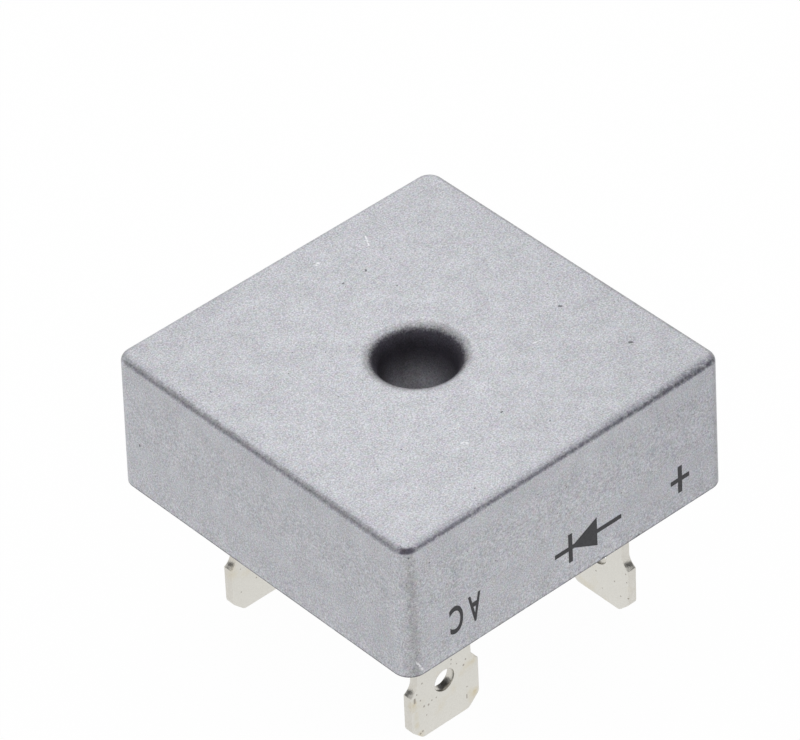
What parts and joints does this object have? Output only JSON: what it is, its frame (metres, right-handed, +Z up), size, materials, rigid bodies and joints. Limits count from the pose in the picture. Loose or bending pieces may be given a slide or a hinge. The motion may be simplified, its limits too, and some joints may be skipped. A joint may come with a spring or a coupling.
{
  "type": "bridge rectifier",
  "caption": "Square metal-cased bridge rectifier, potted from below, with a mounting hole through its middle and upright push-on terminals under the case.",
  "frame": {"origin": "on the axis of the mounting hole, level with the tips of the terminals, on which the part stands", "axes": "+Z up along the mounting hole to the heat-sink face; -Y towards the marked side; +X towards the plus terminal's side"},
  "size_m": [0.0286, 0.0286, 0.0222],
  "materials": {
    "case_metal": "matte",
    "resin": "satin",
    "alumina": "matte",
    "copper": "satin",
    "silicon": "satin",
    "solder": "satin",
    "tinned_brass": "satin"
  },
  "bodies": {
    "root": {"case_shell": "case_metal", "potting_resin": "resin", "ceramic_plate": "alumina", "plus_pad": "copper", "ac_front_pad": "copper", "ac_back_pad": "copper", "plus_front_chip": "silicon", "plus_right_chip": "silicon", "minus_left_chip": "silicon", "minus_back_chip": "silicon", "plus_front_chip_solder": "solder", "plus_right_chip_solder": "solder", "minus_left_chip_solder": "solder", "minus_back_chip_solder": "solder", "front_jumper_chip_solder": "solder", "back_jumper_chip_solder": "solder", "bridge_left_chip_solder": "solder", "bridge_back_chip_solder": "solder", "front_jumper": "copper", "back_jumper": "copper", "front_jumper_pad_solder": "solder", "back_jumper_pad_solder": "solder", "minus_bridge": "copper", "plus_terminal": "tinned_brass", "minus_terminal": "tinned_brass", "ac_front_terminal": "tinned_brass", "ac_back_terminal": "tinned_brass", "plus_foot_solder": "solder", "minus_foot_solder": "solder", "ac_front_foot_solder": "solder", "ac_back_foot_solder": "solder"}
  },
  "joints": []
}
